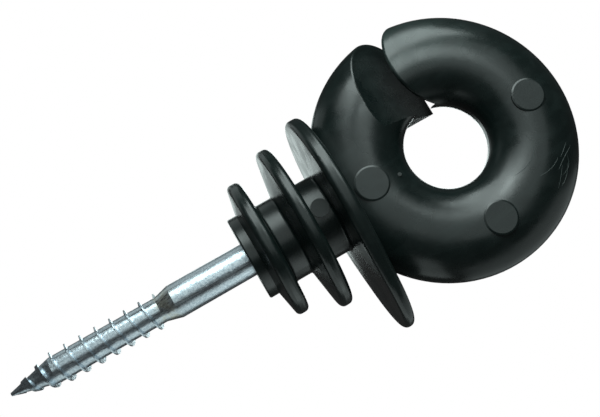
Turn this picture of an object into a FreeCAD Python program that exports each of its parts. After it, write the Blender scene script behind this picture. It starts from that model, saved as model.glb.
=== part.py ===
"""Screw-in ring insulator for electric fence wire: a moulded body and its wood screw.

Frame: the origin is the centre of the collar's end face, where the screw enters
the plastic. +X runs along the screw's axis towards the ring, +Z is the side of
the ring that the wire slot opens on, and -Y is the ejector side of the mould.
"""
import FreeCAD
import Part
import math
import os
import Sketcher

Vector = FreeCAD.Vector
TOUCH = 1e-3
doc = FreeCAD.newDocument("ring_insulator")

# ---------------------------------------------------------------- driving sizes, mm
SIZES = [
    # screw
    ("shank_radius", 3.0),
    ("shank_length", 13.9),
    ("runout_length", 2.6),
    ("core_radius", 2.27),
    ("crest_radius", 2.98),
    ("thread_pitch", 2.64),
    ("thread_length", 26.3),
    ("point_length", 7.4),
    ("thread_root_width", 1.4),
    ("thread_crest_width", 0.24),
    ("thread_depth", 2.7),
    ("tip_radius", 0.3),
    ("insert_radius", 2.7),
    ("insert_length", 22.0),
    ("flat_depth", 0.55),
    ("flat_length", 7.0),
    ("flat_from_end", 2.5),
    ("groove_width", 2.0),
    ("groove_depth", 0.6),
    # neck and collar
    ("collar_radius", 7.62),
    ("collar_length", 2.0),
    ("collar_edge", 0.3),
    ("mouth_radius", 3.2),
    ("mouth_depth", 0.3),
    ("neck_radius", 7.4),
    # sheds: each one's ring-side face, rim and reach
    ("shed_foot_round", 0.4),
    ("shed_rim", 2.2),
    ("shed_rim_round", 0.9),
    ("rim_round_share", 0.47),  # the most of a rim's thickness that each of its rounds takes
    ("shed_face_rise", 0.35),
    ("shed_one_face", 4.85),
    ("shed_one_reach", 12.6),
    ("shed_one_root", 3.2),
    ("shed_two_face", 11.9),
    ("shed_two_reach", 15.3),
    ("shed_two_root", 3.5),
    ("shed_three_face", 19.05),
    ("shed_three_root", 3.0),
    ("shed_three_rim", 1.95),
    ("shed_three_reach", 17.5),
    ("shed_three_half_width", 16.6),
    ("shed_three_lobe", 24.0),
    ("shed_three_lobe_radius", 11.8),
    # ring: the sink is how far it runs into the third shed
    ("ring_pitch_radius", 16.2),
    ("section_radial", 8.4),
    ("section_depth", 6.5),
    ("ring_sink", 3.35),
    ("hole_land", 0.05),
    # wire slot, slanted through the ring on the +Z side
    ("slot_left", 3.15),
    ("slot_left_slope", 1.05),
    ("slot_right", 3.0),
    ("slot_right_slope", 1.0),
    ("slot_drop", 0.15),
    ("slot_edge_round", 0.5),
    # keeper bar at the inner end of the slot
    ("keeper_drop", 0.35),
    ("keeper_height", 6.0),
    ("keeper_set_in", 0.75),
    ("keeper_run", 10.0),
    # mould marks
    ("pin_mark_radius", 3.1),
    ("pin_mark_rise", 0.14),
    ("neck_mark_radius", 1.6),
    ("neck_mark_rise", 0.25),
    ("mark_bevel_across", 0.3),
    ("mark_bevel_down", 0.12),
    ("neck_mark_place", 14.2),
    ("neck_mark_up", 0.6),
    ("mark_sink", 2.0),
    ("nub_radius", 0.35),
    ("nub_inset", 5.1),
    ("nub_down", 0.84),
    ("nub_rise", 0.28),
    # sizes that follow from the ones above
    ("ring_centre", "=shed_three_face + ring_pitch_radius + section_radial - ring_sink"),
    ("hole_radius", "=ring_pitch_radius - section_radial + hole_land"),
    ("slot_floor", "=hole_radius - slot_drop"),
    ("keeper_floor", "=hole_radius - keeper_drop"),
    ("keeper_back", "=section_depth - keeper_set_in"),
    ("nub_reach", "=section_depth * sqrt(1 - (nub_inset / section_radial) ^ 2) + nub_rise"),
]

sheet = doc.addObject("Spreadsheet::Sheet", "sizes")
sheet.Label = "sizes"
for row, (alias, number) in enumerate(SIZES, start=1):
    sheet.set("A%d" % row, alias)
    sheet.setAlias("B%d" % row, alias)
    sheet.set("B%d" % row, str(number))
doc.recompute()


def value(expression):
    """What an expression on the sheet comes to, as a plain number."""
    found = sheet.evalExpression(expression)
    return float(getattr(found, "Value", found))


# ---------------------------------------------------------------- helpers
def new_body(name):
    body = doc.addObject("PartDesign::Body", name)
    body.Label = name
    return body


def new_sketch(body, name, plane, lift=None):
    """A sketch on one of the body's own origin planes, lifted off it if asked."""
    drawn = body.newObject("Sketcher::SketchObject", name)
    support = [found for found in body.Origin.OriginFeatures if found.Role == plane][0]
    drawn.AttachmentSupport = [(support, "")]
    drawn.MapMode = "FlatFace"
    if lift:
        drawn.setExpression("AttachmentOffset.Base.z", lift)
    return drawn


def pin_point(drawn, geometry, place, across, up):
    """Hold a sketch point at two expressions; an empty one puts it on that axis."""
    for kind, axis, expression in (("DistanceX", -2, across), ("DistanceY", -1, up)):
        if expression:
            held = drawn.addConstraint(
                Sketcher.Constraint(kind, -1, 1, geometry, place, value(expression)))
            drawn.setExpression("Constraints[%d]" % held, expression)
        else:
            drawn.addConstraint(Sketcher.Constraint("PointOnObject", geometry, place, axis))


def draw_polygon(drawn, points):
    """A closed polygon whose corners are pairs of expressions."""
    spots = [Vector(value(a) if a else 0, value(b) if b else 0, 0) for a, b in points]
    lines = [drawn.addGeometry(Part.LineSegment(spot, spots[(i + 1) % len(spots)]), False)
             for i, spot in enumerate(spots)]
    for i, line in enumerate(lines):
        drawn.addConstraint(
            Sketcher.Constraint("Coincident", line, 2, lines[(i + 1) % len(lines)], 1))
    for line, (across, up) in zip(lines, points):
        pin_point(drawn, line, 1, across, up)


def draw_circle(drawn, radius, across="", up=""):
    centre = Vector(value(across) if across else 0, value(up) if up else 0, 0)
    circle = drawn.addGeometry(Part.Circle(centre, Vector(0, 0, 1), value(radius)), False)
    pin_point(drawn, circle, 3, across, up)
    held = drawn.addConstraint(Sketcher.Constraint("Radius", circle, value(radius)))
    drawn.setExpression("Constraints[%d]" % held, radius)


def pad(body, drawn, name, length, backwards=False):
    grown = body.newObject("PartDesign::Pad", name)
    grown.Profile = drawn
    grown.setExpression("Length", length)
    grown.Reversed = backwards
    return grown


def turned(body, drawn, name, axis):
    """A full revolution of a sketch about one of the sketch's own axes."""
    spun = body.newObject("PartDesign::Revolution", name)
    spun.Profile = drawn
    spun.ReferenceAxis = (drawn, [axis])
    spun.Angle = 360
    return spun


def edges_where(feature, wanted):
    return ["Edge%d" % (i + 1) for i, edge in enumerate(feature.Shape.Edges) if wanted(edge)]


def rounded(body, base, name, edges, radius, kind="PartDesign::Fillet", size="Radius"):
    doc.recompute()
    soft = body.newObject(kind, name)
    soft.Base = (base, edges)
    soft.setExpression(size, radius)
    return soft


def rim_round(thickness):
    """A rim's round, limited by the thickness of the rim it goes on."""
    return "min(sizes.shed_rim_round; sizes.rim_round_share * %s)" % thickness


def at_x(edge, place):
    return all(abs(v.Point.x - place) < TOUCH for v in edge.Vertexes)


def circles_at(feature, radius):
    """The whole circles of one radius about the screw's axis."""
    wanted = value(radius)
    return edges_where(feature, lambda e: e.BoundBox.XLength < TOUCH
                       and abs(e.BoundBox.ZMax - wanted) < TOUCH
                       and abs(e.BoundBox.ZMin + wanted) < TOUCH)


def on_shed(feature, edge_name, *places):
    """Whether a circle lies at one of a shed's two feet."""
    x = feature.Shape.getElement(edge_name).Vertexes[0].Point.x
    return any(abs(x - value(place)) < TOUCH for place in places)


# ---------------------------------------------------------------- insulator body
moulded = new_body("moulding")

# neck: one plain cylinder from the collar's face to the third shed, where the ring takes over
neck_drawing = new_sketch(moulded, "neck_drawing", "YZ_Plane")
draw_circle(neck_drawing, "sizes.neck_radius")
pad(moulded, neck_drawing, "neck", "sizes.shed_three_face")

collar_drawing = new_sketch(moulded, "collar_drawing", "YZ_Plane")
draw_circle(collar_drawing, "sizes.collar_radius")
collar = pad(moulded, collar_drawing, "collar", "sizes.collar_length")
doc.recompute()
collar_width = 2 * value("sizes.neck_radius")
collar_rim = edges_where(collar, lambda e: at_x(e, 0) and e.BoundBox.YLength > collar_width)
rounded(moulded, collar, "collar_edge", collar_rim, "sizes.collar_edge")

# the shallow mouth that the screw comes out of
mouth_drawing = new_sketch(moulded, "mouth_drawing", "YZ_Plane")
draw_circle(mouth_drawing, "sizes.mouth_radius")
mouth = moulded.newObject("PartDesign::Pocket", "screw_mouth")
mouth.Profile = mouth_drawing
mouth.Reversed = True
mouth.setExpression("Length", "sizes.mouth_depth")


def round_shed(name):
    """A shed that is a turned cone: flat towards the ring, drafted towards the screw."""
    face, reach, root = ("sizes.%s_%s" % (name, word) for word in ("face", "reach", "root"))
    drawing = new_sketch(moulded, name + "_drawing", "XZ_Plane")
    draw_polygon(drawing, [
        (face + " + sizes.shed_face_rise", ""),
        (face + " + sizes.shed_face_rise", "sizes.neck_radius"),
        (face, reach),
        (face + " - sizes.shed_rim", reach),
        (face + " - " + root, "sizes.neck_radius"),
        (face + " - " + root, "")])
    shed = turned(moulded, drawing, name, "H_Axis")
    doc.recompute()
    rim = rounded(moulded, shed, name + "_rim", circles_at(shed, reach),
                  rim_round("sizes.shed_rim"))
    doc.recompute()
    feet = [found for found in circles_at(rim, "sizes.neck_radius")
            if on_shed(rim, found, face + " - " + root, face + " + sizes.shed_face_rise")]
    rounded(moulded, rim, name + "_foot", feet, "sizes.shed_foot_round")


round_shed("shed_one")
round_shed("shed_two")


def trim_to_lobe(name):
    """Cut a turned shed down to two circles joined by tangents, the lower one the lobe."""
    face = "sizes.%s_face" % name
    reach, half, lobe, nose = ("sizes.%s_%s" % (name, word)
                               for word in ("reach", "half_width", "lobe", "lobe_radius"))
    big, small = value(half), value(nose)
    lift, drop = value(reach) - big, value(lobe) - small
    lean = math.asin((big - small) / (lift + drop))
    drawing = new_sketch(moulded, name + "_outline", "YZ_Plane",
                         face + " + 2 * sizes.shed_face_rise")
    up = Vector(0, 0, 1)
    high, low = Vector(0, lift, 0), Vector(0, -drop, 0)
    main = drawing.addGeometry(
        Part.ArcOfCircle(Part.Circle(high, up, big), -lean, math.pi + lean), False)
    nose_arc = drawing.addGeometry(
        Part.ArcOfCircle(Part.Circle(low, up, small), math.pi + lean, 2 * math.pi - lean), False)
    outward = Vector(math.cos(lean), -math.sin(lean), 0)
    inward = Vector(-outward.x, outward.y, 0)
    right = drawing.addGeometry(
        Part.LineSegment(high + outward * big, low + outward * small), False)
    left = drawing.addGeometry(Part.LineSegment(high + inward * big, low + inward * small), False)
    for first, first_end, second, second_end in (
            (main, 1, right, 1), (right, 2, nose_arc, 2), (main, 2, left, 1), (left, 2, nose_arc, 1)):
        drawing.addConstraint(Sketcher.Constraint("Tangent", first, first_end, second, second_end))
    pin_point(drawing, main, 3, "", "%s - %s" % (reach, half))
    pin_point(drawing, nose_arc, 3, "", "%s - %s" % (nose, lobe))
    for arc, radius in ((main, half), (nose_arc, nose)):
        held = drawing.addConstraint(Sketcher.Constraint("Radius", arc, value(radius)))
        drawing.setExpression("Constraints[%d]" % held, radius)
    draw_circle(drawing, lobe + " + sizes.shed_rim")
    trimmed = moulded.newObject("PartDesign::Pocket", name + "_trim")
    trimmed.Profile = drawing
    trimmed.setExpression("Length", "sizes.%s_root + 3 * sizes.shed_face_rise" % name)
    return trimmed


def lobed_shed(name):
    face, root = ("sizes.%s_%s" % (name, word) for word in ("face", "root"))
    lobe = "sizes.%s_lobe" % name
    drawing = new_sketch(moulded, name + "_drawing", "XZ_Plane")
    draw_polygon(drawing, [
        (face + " + sizes.shed_face_rise", ""),
        (face + " + sizes.shed_face_rise", "sizes.neck_radius"),
        (face, lobe),
        (face + " - sizes.%s_rim" % name, lobe),
        (face + " - " + root, "sizes.neck_radius"),
        (face + " - " + root, "")])
    turned(moulded, drawing, name, "H_Axis")
    trimmed = trim_to_lobe(name)
    doc.recompute()
    inner = value(face + " - " + root)
    outer = value(face + " + sizes.shed_face_rise")
    neck, thick = value("sizes.neck_radius"), value("sizes.%s_rim" % name)

    def on_rim(edge):
        box = edge.BoundBox
        spread = max(box.YLength, box.ZLength)
        near = min(math.hypot(v.Point.y, v.Point.z) for v in edge.Vertexes)
        return (inner < box.XMin and box.XMax < outer and near > neck + TOUCH
                and spread > thick and box.XLength < spread / 2)

    rim = rounded(moulded, trimmed, name + "_rim", edges_where(trimmed, on_rim),
                  rim_round("sizes.%s_rim" % name))
    doc.recompute()
    feet = [found for found in circles_at(rim, "sizes.neck_radius")
            if on_shed(rim, found, face + " - " + root)]
    rounded(moulded, rim, name + "_foot", feet, "sizes.shed_foot_round")


lobed_shed("shed_three")

# ring: an elliptical section turned about the hole's axis, with a short land in the hole
ring_drawing = new_sketch(moulded, "ring_drawing", "XY_Plane")
RING_FAR = "sizes.ring_centre + sizes.ring_pitch_radius"
far_centre = value(RING_FAR)
section = ring_drawing.addGeometry(Part.Ellipse(
    Vector(far_centre + value("sizes.section_radial"), 0, 0),
    Vector(far_centre, value("sizes.section_depth"), 0), Vector(far_centre, 0, 0)), False)
ring_drawing.exposeInternalGeometry(section)
long_axis, short_axis = section + 1, section + 2
pin_point(ring_drawing, section, 3, RING_FAR, "")
ring_drawing.addConstraint(Sketcher.Constraint("Horizontal", long_axis))
for line, half in ((long_axis, "sizes.section_radial"), (short_axis, "sizes.section_depth")):
    held = ring_drawing.addConstraint(Sketcher.Constraint("Distance", line, 2 * value(half)))
    ring_drawing.setExpression("Constraints[%d]" % held, "2 * " + half)
ring_middle = Vector(value("sizes.ring_centre"), 0, 0)
axis_line = ring_drawing.addGeometry(Part.LineSegment(
    ring_middle, ring_middle + Vector(0, value("sizes.section_depth"), 0)), True)
pin_point(ring_drawing, axis_line, 1, "sizes.ring_centre", "")
pin_point(ring_drawing, axis_line, 2, "sizes.ring_centre", "sizes.section_depth")
ring = moulded.newObject("PartDesign::Revolution", "ring")
ring.Profile = ring_drawing
doc.recompute()
construction_lines = [n for n, drawn in enumerate(ring_drawing.Geometry)
                      if ring_drawing.getConstruction(n) and isinstance(drawn, Part.LineSegment)]
ring.ReferenceAxis = (ring_drawing, ["Axis%d" % construction_lines.index(axis_line)])
ring.Angle = 360

# the hole's land: a short straight wall where the section comes nearest to the hole's axis
hole_drawing = new_sketch(moulded, "hole_drawing", "XZ_Plane")
draw_circle(hole_drawing, "sizes.hole_radius", "sizes.ring_centre", "")
hole = moulded.newObject("PartDesign::Pocket", "hole_land")
hole.Profile = hole_drawing
hole.Type = "ThroughAll"
hole.Midplane = True

# wire slot: two slanted walls, cut from above the hole out through the top of the ring
OVERRUN = "(sizes.section_depth * 4 / 3)"
slot_drawing = new_sketch(moulded, "slot_drawing", "XY_Plane", "sizes.slot_floor")
draw_polygon(slot_drawing, [
    ("sizes.ring_centre - sizes.slot_left - sizes.slot_left_slope * " + OVERRUN, "-" + OVERRUN),
    ("sizes.ring_centre + sizes.slot_right - sizes.slot_right_slope * " + OVERRUN, "-" + OVERRUN),
    ("sizes.ring_centre + sizes.slot_right + sizes.slot_right_slope * " + OVERRUN, OVERRUN),
    ("sizes.ring_centre - sizes.slot_left + sizes.slot_left_slope * " + OVERRUN, OVERRUN)])
slot = moulded.newObject("PartDesign::Pocket", "wire_slot")
slot.Profile = slot_drawing
slot.Reversed = True
slot.setExpression("Length", "sizes.ring_pitch_radius + 2 * sizes.section_radial")
doc.recompute()
floor_height = value("sizes.slot_floor")


def slot_wall(face):
    """A flat upright face slanted across the ring."""
    if not isinstance(face.Surface, Part.Plane):
        return False
    normal = face.normalAt(0, 0)
    return abs(normal.z) < TOUCH and min(abs(normal.x), abs(normal.y)) > TOUCH


walls = [face for face in slot.Shape.Faces if slot_wall(face)]
lips = edges_where(slot, lambda e: e.BoundBox.ZMax > floor_height + TOUCH
                   and any(e.isSame(own) for face in walls for own in face.Edges))
rounded(moulded, slot, "slot_lips", lips, "sizes.slot_edge_round")

# keeper bar: the left lip carried on to a straight edge behind the hole, level with its top
keeper_drawing = new_sketch(moulded, "keeper_drawing", "XY_Plane", "sizes.keeper_floor")
draw_polygon(keeper_drawing, [
    ("sizes.ring_centre - sizes.slot_left", ""),
    ("sizes.ring_centre - sizes.slot_left + sizes.slot_left_slope * sizes.keeper_back",
     "sizes.keeper_back"),
    ("sizes.ring_centre - sizes.keeper_run", "sizes.keeper_back"),
    ("sizes.ring_centre - sizes.keeper_run", "")])
pad(moulded, keeper_drawing, "keeper_bar", "sizes.keeper_height")

# ejector-pin discs on the ring's crest, and the one on the neck
marks_drawing = new_sketch(moulded, "marks_drawing", "XZ_Plane",
                           "sizes.section_depth + sizes.pin_mark_rise")
for across, up in (
        ("sizes.ring_centre - sizes.ring_pitch_radius", ""),
        ("sizes.ring_centre + sizes.ring_pitch_radius", ""),
        ("sizes.ring_centre", "-sizes.ring_pitch_radius")):
    draw_circle(marks_drawing, "sizes.pin_mark_radius", across, up)
marks = pad(moulded, marks_drawing, "pin_marks", "sizes.mark_sink", backwards=True)
doc.recompute()
mark_top = -value("sizes.section_depth + sizes.pin_mark_rise")
mark_rims = edges_where(marks, lambda e: e.BoundBox.YLength < TOUCH
                        and abs(e.BoundBox.YMin - mark_top) < TOUCH)
bevelled = rounded(moulded, marks, "pin_mark_bevels", mark_rims, "sizes.mark_bevel_down",
                   kind="PartDesign::Chamfer", size="Size")
bevelled.ChamferType = "Two distances"
bevelled.setExpression("Size2", "sizes.mark_bevel_across")
neck_mark_drawing = new_sketch(moulded, "neck_mark_drawing", "XZ_Plane",
                               "sizes.neck_radius + sizes.neck_mark_rise")
draw_circle(neck_mark_drawing, "sizes.neck_mark_radius", "sizes.neck_mark_place",
            "sizes.neck_mark_up")
pad(moulded, neck_mark_drawing, "neck_mark", "sizes.mark_sink", backwards=True)

# the little nub left by the mould inside the ring's front
nub_drawing = new_sketch(moulded, "nub_drawing", "XZ_Plane", "sizes.nub_reach")
draw_circle(nub_drawing, "sizes.nub_radius",
            "sizes.ring_centre - sizes.ring_pitch_radius + sizes.nub_inset", "-sizes.nub_down")
pad(moulded, nub_drawing, "nub", "sizes.mark_sink", backwards=True)

# ---------------------------------------------------------------- wood screw
screw = new_body("wood_screw")
THREAD_START = "-(sizes.shank_length + sizes.runout_length)"
POINT = THREAD_START + " - sizes.thread_length"
CORE_END = POINT + " + sizes.point_length"
GROOVE_END = "sizes.insert_length - sizes.flat_from_end - sizes.flat_length"
GROOVE_START = GROOVE_END + " - sizes.groove_width"
blank_drawing = new_sketch(screw, "blank_drawing", "XZ_Plane")
draw_polygon(blank_drawing, [
    ("sizes.insert_length", ""),
    ("sizes.insert_length", "sizes.insert_radius - sizes.flat_depth"),
    ("sizes.insert_length - sizes.flat_depth", "sizes.insert_radius"),
    (GROOVE_END, "sizes.insert_radius"),
    (GROOVE_END, "sizes.insert_radius - sizes.groove_depth"),
    (GROOVE_START, "sizes.insert_radius - sizes.groove_depth"),
    (GROOVE_START, "sizes.insert_radius"),
    ("", "sizes.insert_radius"),
    ("", "sizes.shank_radius"),
    ("-sizes.shank_length", "sizes.shank_radius"),
    (THREAD_START, "sizes.core_radius"),
    (CORE_END, "sizes.core_radius"),
    (POINT, "sizes.tip_radius"),
    (POINT, "")])
turned(screw, blank_drawing, "blank", "H_Axis")
INNER = "(sizes.insert_radius - sizes.flat_depth)"
OUTER = "(sizes.insert_radius + sizes.flat_depth)"
for side, sign in (("upper", ""), ("lower", "-")):
    flat_drawing = new_sketch(screw, side + "_flat_drawing", "XZ_Plane")
    draw_polygon(flat_drawing, [
        ("sizes.insert_length - sizes.flat_from_end", sign + INNER),
        ("sizes.insert_length - sizes.flat_from_end", sign + OUTER),
        (GROOVE_END, sign + OUTER),
        (GROOVE_END, sign + INNER)])
    flat = screw.newObject("PartDesign::Pocket", side + "_flat")
    flat.Profile = flat_drawing
    flat.Type = "ThroughAll"
    flat.Midplane = True

# thread: a thin fin wound along the core, right down to the point
thread_drawing = new_sketch(screw, "thread_drawing", "XZ_Plane")
SUNK = "(sizes.crest_radius - sizes.thread_depth)"
draw_polygon(thread_drawing, [
    (THREAD_START + " + sizes.thread_root_width / 2", SUNK),
    (THREAD_START + " + sizes.thread_crest_width / 2", "sizes.crest_radius"),
    (THREAD_START + " - sizes.thread_crest_width / 2", "sizes.crest_radius"),
    (THREAD_START + " - sizes.thread_root_width / 2", SUNK)])
thread = screw.newObject("PartDesign::AdditiveHelix", "thread")
thread.Profile = thread_drawing
thread.ReferenceAxis = (thread_drawing, ["H_Axis"])
thread.Mode = 0
thread.setExpression("Pitch", "sizes.thread_pitch")
thread.setExpression("Height", "sizes.thread_length - sizes.thread_root_width")
thread.Reversed = True

# gimlet point: everything outside a cone is turned away
point_drawing = new_sketch(screw, "point_drawing", "XZ_Plane")
draw_polygon(point_drawing, [
    (CORE_END, "sizes.crest_radius"),
    (CORE_END, "2 * sizes.crest_radius"),
    (POINT + " - sizes.thread_pitch", "2 * sizes.crest_radius"),
    (POINT + " - sizes.thread_pitch", ""),
    (POINT, ""),
    (POINT, "sizes.tip_radius")])
point = screw.newObject("PartDesign::Groove", "gimlet_point")
point.Profile = point_drawing
point.ReferenceAxis = (point_drawing, ["H_Axis"])
point.Angle = 360
doc.recompute()

# the body as moulded round the screw: the cavity is the screw's own shape
insulator = doc.addObject("Part::Cut", "insulator_body")
insulator.Label = "insulator_body"
insulator.Base = moulded
insulator.Tool = screw
doc.recompute()

# ---------------------------------------------------------------- checks and export
failed = [made.Name for made in doc.Objects if {"Invalid", "Error"} & set(made.State)]
if failed:
    raise SystemExit("features that failed: " + ", ".join(failed))

os.makedirs("parts", exist_ok=True)
for part in (insulator, screw):
    shape = part.Shape
    if shape.isNull() or not shape.isValid() or len(shape.Solids) != 1:
        raise SystemExit("%s is not one sound solid" % part.Label)
    shape.exportStep("parts/%s.step" % part.Label)
    box = shape.optimalBoundingBox(True)
    print("%-15s %9.1f mm3  x %.2f..%.2f  y %.2f..%.2f  z %.2f..%.2f" % (
        part.Label, shape.Volume, box.XMin, box.XMax, box.YMin, box.YMax, box.ZMin, box.ZMax))
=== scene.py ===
"""A screw-in ring insulator: black moulded polyethylene on a zinc-plated wood screw."""
import math

import bmesh
import bpy
from mathutils import Matrix, Vector


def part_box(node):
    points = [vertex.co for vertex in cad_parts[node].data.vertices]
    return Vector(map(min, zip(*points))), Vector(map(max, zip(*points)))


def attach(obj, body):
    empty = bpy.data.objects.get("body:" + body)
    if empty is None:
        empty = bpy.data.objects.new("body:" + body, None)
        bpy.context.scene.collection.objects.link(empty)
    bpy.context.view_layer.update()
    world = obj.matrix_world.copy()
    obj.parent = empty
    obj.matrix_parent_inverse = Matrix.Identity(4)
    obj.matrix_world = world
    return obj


MM = 0.001
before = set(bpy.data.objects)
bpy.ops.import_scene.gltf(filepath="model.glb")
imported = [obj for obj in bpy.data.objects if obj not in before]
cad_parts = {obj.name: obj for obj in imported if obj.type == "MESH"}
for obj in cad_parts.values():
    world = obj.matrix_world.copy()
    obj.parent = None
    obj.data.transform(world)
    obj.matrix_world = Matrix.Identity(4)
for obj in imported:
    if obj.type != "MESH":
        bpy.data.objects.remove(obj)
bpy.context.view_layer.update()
scene = bpy.context.scene


# ---------------------------------------------------------------- sizes of the ring, mm
RING_PITCH = 16.2
SECTION_RADIAL = 8.4
SECTION_DEPTH = 6.5
FAR_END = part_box("insulator_body")[1].x / MM
RING_CENTRE = FAR_END - RING_PITCH - SECTION_RADIAL
LIP_SET_BACK = 1.5
LIP_OUTWARDS = 1.0
LIP = (RING_CENTRE - LIP_SET_BACK, -SECTION_DEPTH, RING_PITCH + LIP_OUTWARDS)


# ---------------------------------------------------------------- colours and nodes
def linear(hex_colour):
    """An sRGB hex colour as linear red, green, blue and alpha."""
    parts = [int(hex_colour[i:i + 2], 16) / 255 for i in (1, 3, 5)]
    return (*(c / 12.92 if c <= 0.04045 else ((c + 0.055) / 1.055) ** 2.4 for c in parts), 1.0)


def node(tree, kind, inputs=None, **settings):
    """One node, with its settings, and its inputs given as values or as sockets to link."""
    made = tree.nodes.new(kind)
    for name, setting in settings.items():
        setattr(made, name, setting)
    for name, given in (inputs or {}).items():
        if isinstance(given, bpy.types.NodeSocket):
            tree.links.new(given, made.inputs[name])
        else:
            made.inputs[name].default_value = given
    return made


def material(name):
    made = bpy.data.materials.new(name)
    made.use_nodes = True
    made.node_tree.nodes.clear()
    return made, made.node_tree


# ---------------------------------------------------------------- camera
AZIMUTH = math.radians(-12.65)
ELEVATION = math.radians(-7.51)
ROLL = math.radians(31.38)
AIM = Vector((32.21, 0, -0.26)) * MM
DISTANCE = 155 * MM
NEAREST_SEEN = 5 * MM
SENSOR = 36.0
FOCAL = 51.9
SHIFT = (-0.1816, -0.0644)

back = Vector((math.sin(AZIMUTH) * math.cos(ELEVATION),
               -math.cos(AZIMUTH) * math.cos(ELEVATION), math.sin(ELEVATION)))
level_right = (-back).cross(Vector((0, 0, 1))).normalized()
level_up = level_right.cross(-back)
view_right = level_right * math.cos(ROLL) - level_up * math.sin(ROLL)
view_up = level_right * math.sin(ROLL) + level_up * math.cos(ROLL)

lens = bpy.data.cameras.new("camera")
lens.sensor_width = SENSOR
lens.lens = FOCAL
lens.shift_x, lens.shift_y = SHIFT
lens.clip_start = NEAREST_SEEN
camera = bpy.data.objects.new("camera", lens)
scene.collection.objects.link(camera)
camera.matrix_world = (Matrix.Translation(AIM + back * DISTANCE)
                       @ Matrix((view_right, view_up, back)).transposed().to_4x4())
scene.camera = camera
scene.view_settings.view_transform = "Standard"


# ---------------------------------------------------------------- materials
POLYETHYLENE_IOR = 1.51
FLOW_MARK = 2.2
FLOW_STRETCH = 3
FLOW_DEPTH = 0.05
CLOUD = 5.0
# the mould's fine blasted texture is nearer 0.05 mm, and is drawn coarser so that it shows
SKIN_GRAIN = 0.16
TORN_GRAIN = 0.1
GRAIN_DEPTH = 0.01

# plating crystals and die marks are nearer 0.05 mm, and are drawn coarser so that they show
STREAK = 0.22
STREAK_STRETCH = 30
STREAK_DEPTH = 0.01
PIT = 0.28
PIT_DEPTH = 0.02
DENT = 0.8
DENT_DEPTH = 0.08
TINT_PATCH = 1.6
RUNOUT_X = -15.0
TINT_FULL = 1.2
TINT_GONE = 3.8

# where the painted sheen on the lip (a painted highlight in the base colour) starts to fade and
# ends, in millimetres
PAINTED_SHEEN_FULL = 3.0
PAINTED_SHEEN_GONE = 20.0
SLOT_FADE = (1.0, 3.0)
THROAT_FADE = (-3.5, -0.5)

# the Mix node's sockets for colours
MIX_FACTOR, MIX_FIRST, MIX_SECOND, MIX_RESULT = 0, 6, 7, 2


def cells(size, *drawn_out):
    """A pattern's scale, from its size in millimetres and how far each axis draws it out."""
    return tuple(1 / (size * MM * stretch) for stretch in drawn_out or (1, 1, 1))


def by_lip(tree, place):
    """1 at the slot's right lip, falling off along the ring."""
    away = node(tree, "ShaderNodeVectorMath", {0: place, 1: tuple(c * MM for c in LIP)},
                operation="DISTANCE")
    return node(tree, "ShaderNodeMapRange", {
        "Value": away.outputs["Value"], "From Min": PAINTED_SHEEN_FULL * MM, "From Max": PAINTED_SHEEN_GONE * MM,
        "To Min": 1.0, "To Max": 0.0}, interpolation_type="SMOOTHSTEP").outputs["Result"]


def beyond_slot(tree, place):
    """1 on the lip past the slot's right wall and 0 on the ramp."""
    across = node(tree, "ShaderNodeVectorMath", {0: place, 1: (1, -1, 0)},
                  operation="DOT_PRODUCT")
    return node(tree, "ShaderNodeMapRange", {
        "Value": across.outputs["Value"], "From Min": (RING_CENTRE + SLOT_FADE[0]) * MM,
        "From Max": (RING_CENTRE + SLOT_FADE[1]) * MM},
        interpolation_type="SMOOTHSTEP").outputs["Result"]


def off_throat(tree, place):
    """0 on the side of the ring that turns down into its hole, and 1 from the crest outwards."""
    flat = node(tree, "ShaderNodeVectorMath", {0: place, 1: (1, 0, 1)}, operation="MULTIPLY")
    reach = node(tree, "ShaderNodeVectorMath", {
        0: flat.outputs["Vector"], 1: (RING_CENTRE * MM, 0, 0)}, operation="DISTANCE")
    return node(tree, "ShaderNodeMapRange", {
        "Value": reach.outputs["Value"], "From Min": (RING_PITCH + THROAT_FADE[0]) * MM,
        "From Max": (RING_PITCH + THROAT_FADE[1]) * MM},
        interpolation_type="SMOOTHSTEP").outputs["Result"]


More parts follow.
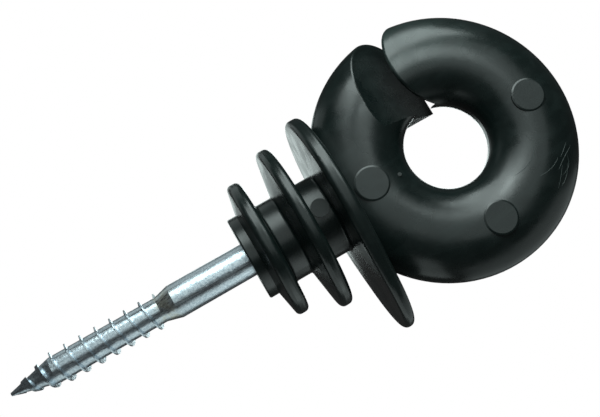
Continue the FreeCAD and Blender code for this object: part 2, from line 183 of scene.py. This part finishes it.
def black_polyethylene():
    """Moulded polyethylene: waxy satin black, faint flow marks, and a painted sheen (a lighter
    grey base colour on the lip standing in for a highlight).
    """
    made, tree = material("moulded_black_polyethylene")
    place = node(tree, "ShaderNodeTexCoord").outputs["Object"]
    drawn = node(tree, "ShaderNodeMapping", {
        "Vector": place, "Scale": cells(FLOW_MARK, FLOW_STRETCH, 1, 1)})
    flow = node(tree, "ShaderNodeTexNoise", {
        "Vector": drawn.outputs["Vector"], "Scale": 1.0, "Detail": 3.0, "Distortion": 0.6})
    cloud = node(tree, "ShaderNodeTexNoise", {
        "Vector": place, "Scale": cells(CLOUD)[0], "Detail": 2.0})
    grain = node(tree, "ShaderNodeTexNoise", {
        "Vector": place, "Scale": cells(SKIN_GRAIN)[0], "Detail": 2.0})

    # the painted sheen, a painted highlight in the base colour: strongest on the lip past the
    # slot, broken up by the flow marks
    broken = node(tree, "ShaderNodeMapRange", {
        "Value": flow.outputs["Fac"], "From Min": 0.3, "From Max": 0.7, "To Min": 0.45},
        interpolation_type="SMOOTHSTEP")
    painted_sheen = broken.outputs["Result"]
    for region in (by_lip, beyond_slot, off_throat):
        painted_sheen = node(tree, "ShaderNodeMath", {0: painted_sheen, 1: region(tree, place)},
                     operation="MULTIPLY").outputs["Value"]

    flowed = node(tree, "ShaderNodeMapRange", {
        "Value": flow.outputs["Fac"], "From Min": 0.4, "From Max": 0.75},
        interpolation_type="SMOOTHSTEP")
    skin = node(tree, "ShaderNodeMix", {
        MIX_FACTOR: flowed.outputs["Result"], MIX_FIRST: linear("#101918"),
        MIX_SECOND: linear("#182120")}, data_type="RGBA")
    # painted highlight: the lighter grey #2B3634 stands in for reflected light on the lip
    tone = node(tree, "ShaderNodeMix", {
        MIX_FACTOR: painted_sheen, MIX_FIRST: skin.outputs[MIX_RESULT],
        MIX_SECOND: linear("#2B3634")}, data_type="RGBA")
    rough = node(tree, "ShaderNodeMapRange", {
        "Value": cloud.outputs["Fac"], "From Min": 0.35, "From Max": 0.65,
        "To Min": 0.24, "To Max": 0.33}, interpolation_type="SMOOTHSTEP")
    waves = node(tree, "ShaderNodeBump", {
        "Height": flow.outputs["Fac"], "Strength": 0.09, "Distance": FLOW_DEPTH * MM})
    skin_grain = node(tree, "ShaderNodeBump", {
        "Height": grain.outputs["Fac"], "Strength": 0.12, "Distance": GRAIN_DEPTH * MM,
        "Normal": waves.outputs["Normal"]})
    shader = node(tree, "ShaderNodeBsdfPrincipled", {
        "Base Color": tone.outputs[MIX_RESULT], "Roughness": rough.outputs["Result"],
        "IOR": POLYETHYLENE_IOR, "Normal": skin_grain.outputs["Normal"]})
    node(tree, "ShaderNodeOutputMaterial", {"Surface": shader.outputs["BSDF"]})
    return made


def scuffed_polyethylene():
    """Polyethylene scraped by a tool: drier and a little greyer than the skin round it."""
    made, tree = material("scraped_black_polyethylene")
    place = node(tree, "ShaderNodeTexCoord").outputs["Object"]
    grain = node(tree, "ShaderNodeTexNoise", {
        "Vector": place, "Scale": cells(TORN_GRAIN)[0], "Detail": 2.0})
    tone = node(tree, "ShaderNodeMix", {
        MIX_FACTOR: grain.outputs["Fac"], MIX_FIRST: linear("#1B2423"),
        MIX_SECOND: linear("#3A4543")}, data_type="RGBA")
    torn = node(tree, "ShaderNodeBump", {
        "Height": grain.outputs["Fac"], "Strength": 0.3, "Distance": GRAIN_DEPTH * MM})
    shader = node(tree, "ShaderNodeBsdfPrincipled", {
        "Base Color": tone.outputs[MIX_RESULT], "Roughness": 0.42, "IOR": POLYETHYLENE_IOR,
        "Normal": torn.outputs["Normal"]})
    node(tree, "ShaderNodeOutputMaterial", {"Surface": shader.outputs["BSDF"]})
    return made


def bright_zinc():
    """Bright zinc plating on rolled wire: bluish, streaked along the shank, with a straw tint."""
    made, tree = material("bright_zinc_plated_steel")
    place = node(tree, "ShaderNodeTexCoord").outputs["Object"]
    drawn = node(tree, "ShaderNodeMapping", {
        "Vector": place, "Scale": cells(STREAK, STREAK_STRETCH, 1, 1)})
    streaks = node(tree, "ShaderNodeTexNoise", {
        "Vector": drawn.outputs["Vector"], "Scale": 1.0, "Detail": 3.0})
    pits = node(tree, "ShaderNodeTexNoise", {
        "Vector": place, "Scale": cells(PIT)[0], "Detail": 4.0})
    dents = node(tree, "ShaderNodeTexNoise", {
        "Vector": place, "Scale": cells(DENT)[0], "Detail": 2.0})
    patches = node(tree, "ShaderNodeTexNoise", {
        "Vector": place, "Scale": cells(TINT_PATCH)[0], "Detail": 2.0})

    # the straw tint: round the shank where the thread's rolling ends, in patches
    from_runout = node(tree, "ShaderNodeVectorMath", {0: place, 1: (RUNOUT_X * MM, 0, 0)},
                       operation="DISTANCE")
    at_runout = node(tree, "ShaderNodeMapRange", {
        "Value": from_runout.outputs["Value"], "From Min": TINT_FULL * MM,
        "From Max": TINT_GONE * MM, "To Min": 1.0, "To Max": 0.0}, interpolation_type="SMOOTHSTEP")
    patchy = node(tree, "ShaderNodeMapRange", {
        "Value": patches.outputs["Fac"], "From Min": 0.42, "From Max": 0.6,
        "To Min": 0.2, "To Max": 0.9}, interpolation_type="SMOOTHSTEP")
    straw = node(tree, "ShaderNodeMath", {
        0: at_runout.outputs["Result"], 1: patchy.outputs["Result"]}, operation="MULTIPLY")

    dulled = node(tree, "ShaderNodeMapRange", {
        "Value": pits.outputs["Fac"], "From Min": 0.35, "From Max": 0.7},
        interpolation_type="SMOOTHSTEP")
    plating = node(tree, "ShaderNodeMix", {
        MIX_FACTOR: dulled.outputs["Result"], MIX_FIRST: linear("#D3DCE3"),
        MIX_SECOND: linear("#AAB6C0")}, data_type="RGBA")
    tone = node(tree, "ShaderNodeMix", {
        MIX_FACTOR: straw.outputs["Value"], MIX_FIRST: plating.outputs[MIX_RESULT],
        MIX_SECOND: linear("#C9B98E")}, data_type="RGBA")
    rough = node(tree, "ShaderNodeMapRange", {
        "Value": streaks.outputs["Fac"], "From Min": 0.3, "From Max": 0.7,
        "To Min": 0.24, "To Max": 0.40}, interpolation_type="SMOOTHSTEP")
    dented = node(tree, "ShaderNodeBump", {
        "Height": dents.outputs["Fac"], "Strength": 0.5, "Distance": DENT_DEPTH * MM})
    streaked = node(tree, "ShaderNodeBump", {
        "Height": streaks.outputs["Fac"], "Strength": 0.2, "Distance": STREAK_DEPTH * MM,
        "Normal": dented.outputs["Normal"]})
    pitted = node(tree, "ShaderNodeBump", {
        "Height": pits.outputs["Fac"], "Strength": 0.3, "Distance": PIT_DEPTH * MM,
        "Normal": streaked.outputs["Normal"]})
    shader = node(tree, "ShaderNodeBsdfPrincipled", {
        "Base Color": tone.outputs[MIX_RESULT], "Metallic": 1.0,
        "Roughness": rough.outputs["Result"], "Normal": pitted.outputs["Normal"]})
    node(tree, "ShaderNodeOutputMaterial", {"Surface": shader.outputs["BSDF"]})
    return made


def white_card():
    """Lit from beneath as well, like a light table, so that it stays white."""
    made, tree = material("white_card")
    shader = node(tree, "ShaderNodeBsdfPrincipled", {
        "Base Color": linear("#F4F4F4"), "Roughness": 0.9,
        "Emission Color": linear("#FFFFFF"), "Emission Strength": 0.8})
    node(tree, "ShaderNodeOutputMaterial", {"Surface": shader.outputs["BSDF"]})
    return made


def dress(name, look):
    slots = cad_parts[name].data.materials
    slots.clear()
    slots.append(look)


dress("insulator_body", black_polyethylene())
dress("wood_screw", bright_zinc())

# ---------------------------------------------------------------- scrapes on the ring
# each scrape: its two ends as degrees round the ring from +X towards +Z and mm outwards from
# the crest, and how far its middle bows outwards in mm
BURR_RADIUS = 0.06
SCRAPE_STEPS = 24
# a burr tapers to a thin end, but not to a point
BURR_ENDS = 0.05
SCRAPES = [
    ((-36, -1.5), (-61, -3.5), 0.5),
    ((-40, 3.0), (-54, 0.5), 0.3),
    ((-31, 4.5), (-39, 3.5), 0.0),
    ((-32, 5.5), (-46, 3.5), -0.3),
    ((-36, 4.5), (-48, 4.5), 0.8),
    ((-43, 4.0), (-55, 4.5), 0.0),
    ((-41, 5.0), (-53, 5.0), 0.3)]


def on_ring(turn, outwards):
    """A point on the ring's front skin, in metres."""
    turn = math.radians(turn)
    reach = RING_PITCH + outwards
    depth = SECTION_DEPTH * math.sqrt(1 - (outwards / SECTION_RADIAL) ** 2)
    return Vector((RING_CENTRE + reach * math.cos(turn), -depth, reach * math.sin(turn))) * MM


def scrapes():
    """Fine burrs thrown up along each scrape, half sunk in the skin."""
    line = bpy.data.curves.new("ring_scrapes", "CURVE")
    line.dimensions = "3D"
    line.bevel_depth = BURR_RADIUS * MM
    line.bevel_resolution = 2
    for start, end, bow in SCRAPES:
        run = line.splines.new("POLY")
        run.points.add(SCRAPE_STEPS)
        for step, point in enumerate(run.points):
            along = step / SCRAPE_STEPS
            turn = start[0] + (end[0] - start[0]) * along
            outwards = start[1] + (end[1] - start[1]) * along + bow * math.sin(math.pi * along)
            point.co = (*on_ring(turn, outwards), 1.0)
            taper = BURR_ENDS + (1 - 2 * BURR_ENDS) * along
            point.radius = math.sqrt(math.sin(math.pi * taper))
    line.materials.append(scuffed_polyethylene())
    made = bpy.data.objects.new("ring_scrapes", line)
    scene.collection.objects.link(made)
    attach(made, "root")


scrapes()

# ---------------------------------------------------------------- light
ROOM = 0.04
COOL = linear("#EFFFFD")
WATTS_PER_RADIANCE = 4.0
MID_SCREW = Vector((-28, 0, 0)) * MM

world = bpy.data.worlds.new("world")
world.use_nodes = True
scene.world = world
world.node_tree.nodes.clear()
seen = node(world.node_tree, "ShaderNodeLightPath").outputs["Is Camera Ray"]
strength = node(world.node_tree, "ShaderNodeMapRange", {
    "Value": seen, "To Min": ROOM, "To Max": 1.0})
sky = node(world.node_tree, "ShaderNodeBackground", {
    "Color": (1, 1, 1, 1), "Strength": strength.outputs["Result"]})
node(world.node_tree, "ShaderNodeOutputWorld", {"Surface": sky.outputs["Background"]})


def softbox(name, towards, along, distance, width, height, radiance, about=AIM):
    """A rectangular light facing a point; directions are right, up and out of the view."""
    direction, side = (
        (view_right * given[0] + view_up * given[1] + back * given[2]).normalized()
        for given in (towards, along))
    upright = direction.cross(side).normalized()
    light = bpy.data.lights.new(name, "AREA")
    light.shape = "RECTANGLE"
    light.size, light.size_y = width, height
    light.energy = radiance * WATTS_PER_RADIANCE * width * height
    light.color = COOL[:3]
    lamp = bpy.data.objects.new(name, light)
    facing = Matrix((upright.cross(direction), upright, direction)).transposed().to_4x4()
    lamp.matrix_world = Matrix.Translation(about + direction * distance) @ facing
    lamp.visible_camera = False
    scene.collection.objects.link(lamp)


softbox("ceiling", (0.10, 0.50, 0.86), (1.0, 0.1, 0.0), 0.4, 0.44, 0.46, 0.68)
softbox("window", (-0.16, 0.91, 0.38), (-0.4, -0.3, 0.5), 0.4, 0.40, 0.24, 3.9)
softbox("table", (0.78, -0.60, -0.17), (0.6, 0.8, 0.0), 0.15, 0.20, 0.20, 0.4)
softbox("backdrop", (-0.40, -0.03, -0.92), (1.0, 0.0, 0.0), 0.2, 0.10, 0.10, 1.15)
softbox("rear", (0.0, 0.05, -1.0), (1.0, 0.0, 0.0), 0.4, 0.14, 0.14, 3.0)
softbox("lip_lamp", (0.22, 0.54, 0.81), (1.0, 0.0, 0.0), 0.07, 0.034, 0.026, 3.4,
        about=Vector(LIP) * MM)
softbox("under_card", (0.45, -0.85, 0.15), (0.85, 0.48, 0.0), 0.045, 0.09, 0.045, 0.6,
        about=MID_SCREW)
softbox("upper_card", (-0.45, 0.80, -0.40), (0.85, 0.48, 0.0), 0.045, 0.07, 0.03, 0.4,
        about=MID_SCREW)

# ---------------------------------------------------------------- floor
FLOOR_RADIUS = 0.3
FLOOR_DROP = 0.12
floor_mesh = bpy.data.meshes.new("floor")
floor = bpy.data.objects.new("floor", floor_mesh)
bm = bmesh.new()
bmesh.ops.create_circle(bm, cap_ends=True, segments=96, radius=FLOOR_RADIUS)
bmesh.ops.translate(bm, verts=bm.verts, vec=(0, 0, -FLOOR_DROP))
bm.to_mesh(floor_mesh)
bm.free()
floor_mesh.materials.append(white_card())
floor.visible_glossy = False
floor.visible_diffuse = False
scene.collection.objects.link(floor)
